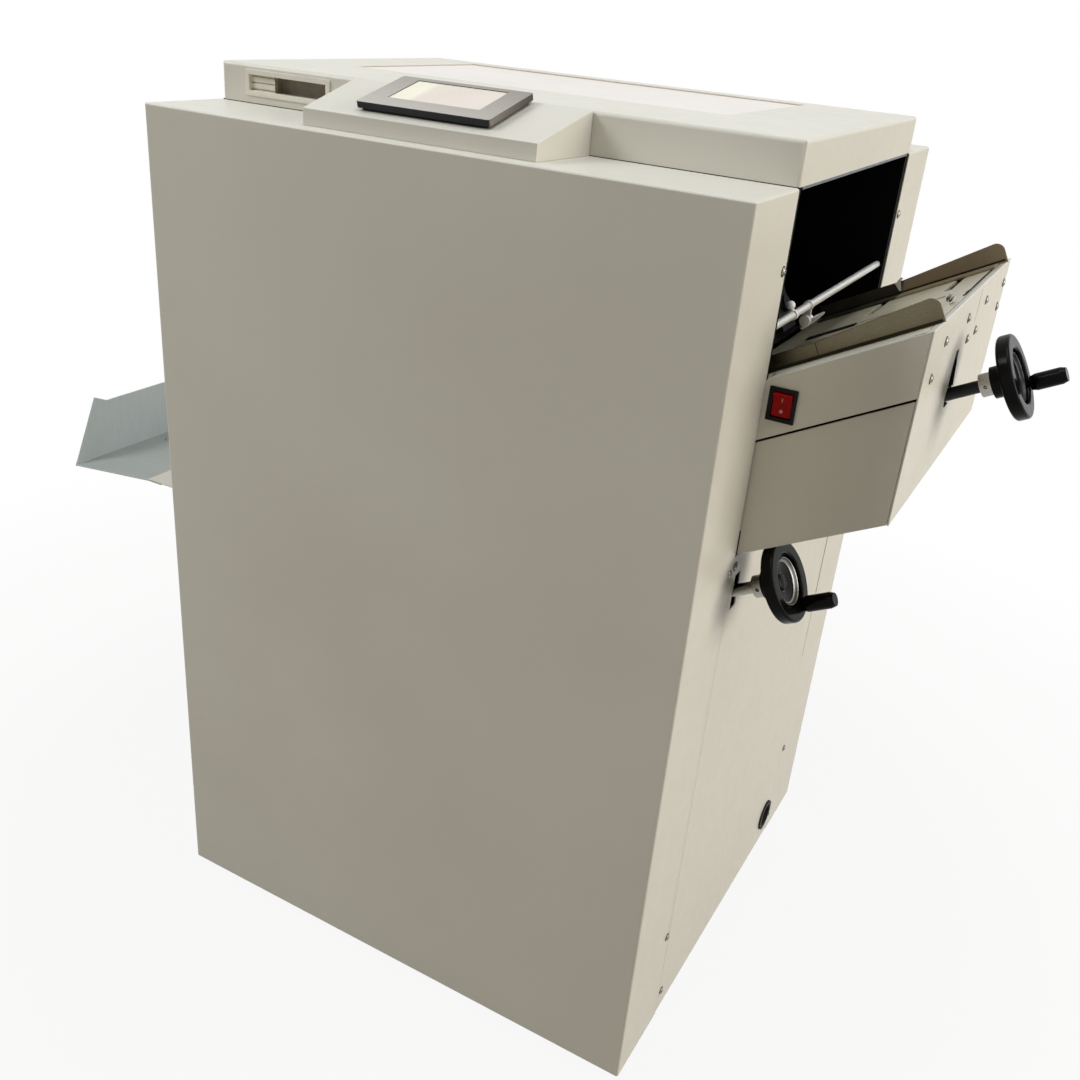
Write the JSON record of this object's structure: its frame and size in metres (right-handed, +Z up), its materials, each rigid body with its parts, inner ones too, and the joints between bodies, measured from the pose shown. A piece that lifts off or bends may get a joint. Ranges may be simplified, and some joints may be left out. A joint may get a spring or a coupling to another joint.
{
  "type": "booklet maker",
  "caption": "Floor-standing wire booklet maker: sloped infeed with handwheels, hinged hood with touch panel, inner stitcher, fold knife and rollers, and a catch tray at the outlet.",
  "frame": {"origin": "centre of the bounding box in plan, on the floor under the feet", "axes": "+X towards the infeed side with the handwheels, +Y towards the back, +Z up; the operator stands at -Y"},
  "size_m": [1.1486, 0.598, 0.9976],
  "materials": {
    "cabinet_paint": "fine textured powder coat",
    "bright_steel": "brushed",
    "black_steel": "black oxide",
    "foot_rubber": "matte",
    "belt_rubber": "matte",
    "ivory_plastic": "satin",
    "grey_plastic": "satin",
    "screen_film": "glossy",
    "table_steel": "brushed",
    "black_plastic": "satin",
    "red_plastic": "glossy",
    "white_plastic": "satin",
    "black_bakelite": "glossy",
    "head_steel": "satin",
    "stitching_wire": "bright wire",
    "roller_steel": "ground",
    "motor_paint": "satin",
    "case_steel": "satin",
    "tray_paint": "satin"
  },
  "bodies": {
    "machine": {"base_plate": "black_steel", "levelling_feet": "foot_rubber", "front_side_plate": "black_steel", "rear_side_plate": "black_steel", "frame_bars": "bright_steel", "front_cover": "cabinet_paint", "back_cover": "cabinet_paint", "right_panel": "cabinet_paint", "left_panel": "cabinet_paint", "panel_screws": "bright_steel", "cable_grommet": "foot_rubber", "hinge_fixed_leaves": "bright_steel", "panel_housing": "cabinet_paint", "touch_panel": "grey_plastic", "touch_screen": "screen_film", "infeed_front_side": "cabinet_paint", "infeed_rear_side": "cabinet_paint", "infeed_apron": "cabinet_paint", "infeed_end_plate": "cabinet_paint", "infeed_table": "table_steel", "switch_bezel": "black_plastic", "screw_bearings": "black_steel", "paper_beds": "bright_steel", "stitch_beam": "black_steel", "stitch_heads": "head_steel", "clincher_bar": "black_steel", "knife_bridge": "black_steel", "drive_belts": "belt_rubber", "drive_motor": "motor_paint", "control_box": "case_steel", "outlet_chute": "cabinet_paint", "catch_tray": "tray_paint"},
    "hood": {"hood": "cabinet_paint", "hood_inset": "cabinet_paint", "pull_handle": "ivory_plastic", "hinge_moving_leaves": "bright_steel"},
    "switch_rocker": {"switch_rocker": "red_plastic"},
    "front_guide": {"front_guide": "bright_steel"},
    "rear_guide": {"rear_guide": "bright_steel"},
    "release_lever": {"release_lever": "white_plastic"},
    "hold_down_arm": {"hold_down_arm": "bright_steel", "arm_roller": "white_plastic"},
    "upper_handwheel": {"upper_wheel": "black_bakelite", "upper_screw": "black_steel", "upper_collar": "bright_steel"},
    "upper_grip": {"upper_grip": "black_bakelite"},
    "lower_handwheel": {"lower_wheel": "black_bakelite", "lower_screw": "bright_steel"},
    "lower_grip": {"lower_grip": "black_bakelite"},
    "stitch_stop": {"stitch_stop": "bright_steel"},
    "fold_stop": {"fold_stop": "bright_steel"},
    "stitch_drivers": {"stitch_drivers": "bright_steel"},
    "front_spool": {"front_spool": "stitching_wire"},
    "rear_spool": {"rear_spool": "stitching_wire"},
    "fold_knife": {"fold_knife": "bright_steel"},
    "fold_roller_low": {"fold_roller_low": "roller_steel"},
    "fold_roller_high": {"fold_roller_high": "roller_steel"},
    "conveyor_drive": {"conveyor_drive": "bright_steel"},
    "conveyor_idler": {"conveyor_idler": "bright_steel"},
    "motor_pulley": {"motor_pulley": "bright_steel"}
  },
  "joints": [
    {"name": "hood_hinge", "type": "hinge", "parent": "machine", "child": "hood", "pos_m": [0.03687, 0.2002, 0.9556], "axis": [-1, 0, 0], "range_deg": [0, 85]},
    {"name": "switch_tip", "type": "hinge", "parent": "machine", "child": "switch_rocker", "pos_m": [0.36462, -0.193, 0.7715], "axis": [1, 0, 0], "range_deg": [-16, 0]},
    {"name": "front_guide_slide", "type": "slide", "parent": "machine", "child": "front_guide", "axis": [0, 1, 0], "range_m": [0, 0.08]},
    {"name": "rear_guide_slide", "type": "slide", "parent": "machine", "child": "rear_guide", "axis": [0, -1, 0], "range_m": [0, 0.08]},
    {"name": "release_swing", "type": "hinge", "parent": "machine", "child": "release_lever", "pos_m": [0.33887, 0, 0.832], "axis": [0, 1, 0], "range_deg": [-40, 40]},
    {"name": "hold_down_swing", "type": "hinge", "parent": "machine", "child": "hold_down_arm", "pos_m": [0.33887, 0, 0.832], "axis": [0, 1, 0], "range_deg": [-55, 55]},
    {"name": "upper_handwheel_turn", "type": "hinge", "parent": "machine", "child": "upper_handwheel", "pos_m": [0.47587, -0.038, 0.7666], "axis": [0.8788, 0, 0.4772], "range_deg": [-1620, 1620]},
    {"name": "upper_grip_spin", "type": "hinge", "parent": "upper_handwheel", "child": "upper_grip", "pos_m": [0.39319, -0.01151, 0.70568], "axis": [0.8788, 0, 0.4772], "continuous": true},
    {"name": "stitch_stop_slide", "type": "slide", "parent": "machine", "child": "stitch_stop", "axis": [0.8788, 0, 0.4772], "range_m": [-0.045, 0.045]},
    {"name": "lower_handwheel_turn", "type": "hinge", "parent": "machine", "child": "lower_handwheel", "pos_m": [0.34687, -0.177, 0.57253], "axis": [0.8788, 0, 0.4772], "range_deg": [-1620, 1620]},
    {"name": "lower_grip_spin", "type": "hinge", "parent": "lower_handwheel", "child": "lower_grip", "pos_m": [0.45217, -0.16823, 0.59706], "axis": [0.8788, 0, 0.4772], "continuous": true},
    {"name": "fold_stop_slide", "type": "slide", "parent": "machine", "child": "fold_stop", "axis": [0.8788, 0, 0.4772], "range_m": [-0.045, 0.045]},
    {"name": "stitch_stroke", "type": "slide", "parent": "machine", "child": "stitch_drivers", "axis": [0.4772, 0, -0.8788], "range_m": [0, 0.0085]},
    {"name": "front_spool_spin", "type": "hinge", "parent": "machine", "child": "front_spool", "pos_m": [0.05687, 0, 0.862], "axis": [0, 1, 0], "continuous": true},
    {"name": "rear_spool_spin", "type": "hinge", "parent": "machine", "child": "rear_spool", "pos_m": [0.05687, 0, 0.862], "axis": [0, 1, 0], "continuous": true},
    {"name": "knife_stroke", "type": "slide", "parent": "machine", "child": "fold_knife", "axis": [0.4772, 0, -0.8788], "range_m": [0, 0.039]},
    {"name": "fold_roller_turn", "type": "hinge", "parent": "machine", "child": "fold_roller_low", "pos_m": [0.0625, 0, 0.59108], "axis": [0, 1, 0], "continuous": true},
    {"name": "fold_roller_high_turn", "type": "hinge", "parent": "machine", "child": "fold_roller_high", "pos_m": [0.09818, 0, 0.61046], "axis": [0, 1, 0], "continuous": true},
    {"name": "conveyor_turn", "type": "hinge", "parent": "machine", "child": "conveyor_drive", "pos_m": [0.19687, 0, 0.462], "axis": [0, 1, 0], "continuous": true},
    {"name": "conveyor_idler_turn", "type": "hinge", "parent": "machine", "child": "conveyor_idler", "pos_m": [-0.24313, 0, 0.462], "axis": [0, 1, 0], "continuous": true},
    {"name": "motor_turn", "type": "hinge", "parent": "machine", "child": "motor_pulley", "pos_m": [0.0625, 0, 0.142], "axis": [0, 1, 0], "continuous": true}
  ],
  "couplings": [
    {"joint": "stitch_stop_slide", "follows": "upper_handwheel_turn", "m_per_rad": 0.0015915},
    {"joint": "fold_stop_slide", "follows": "lower_handwheel_turn", "m_per_rad": 0.0015915},
    {"joint": "fold_roller_high_turn", "follows": "fold_roller_turn", "ratio": -1},
    {"joint": "conveyor_turn", "follows": "fold_roller_turn", "ratio": -1},
    {"joint": "conveyor_idler_turn", "follows": "fold_roller_turn", "ratio": -1},
    {"joint": "motor_turn", "follows": "fold_roller_turn", "ratio": 1}
  ]
}
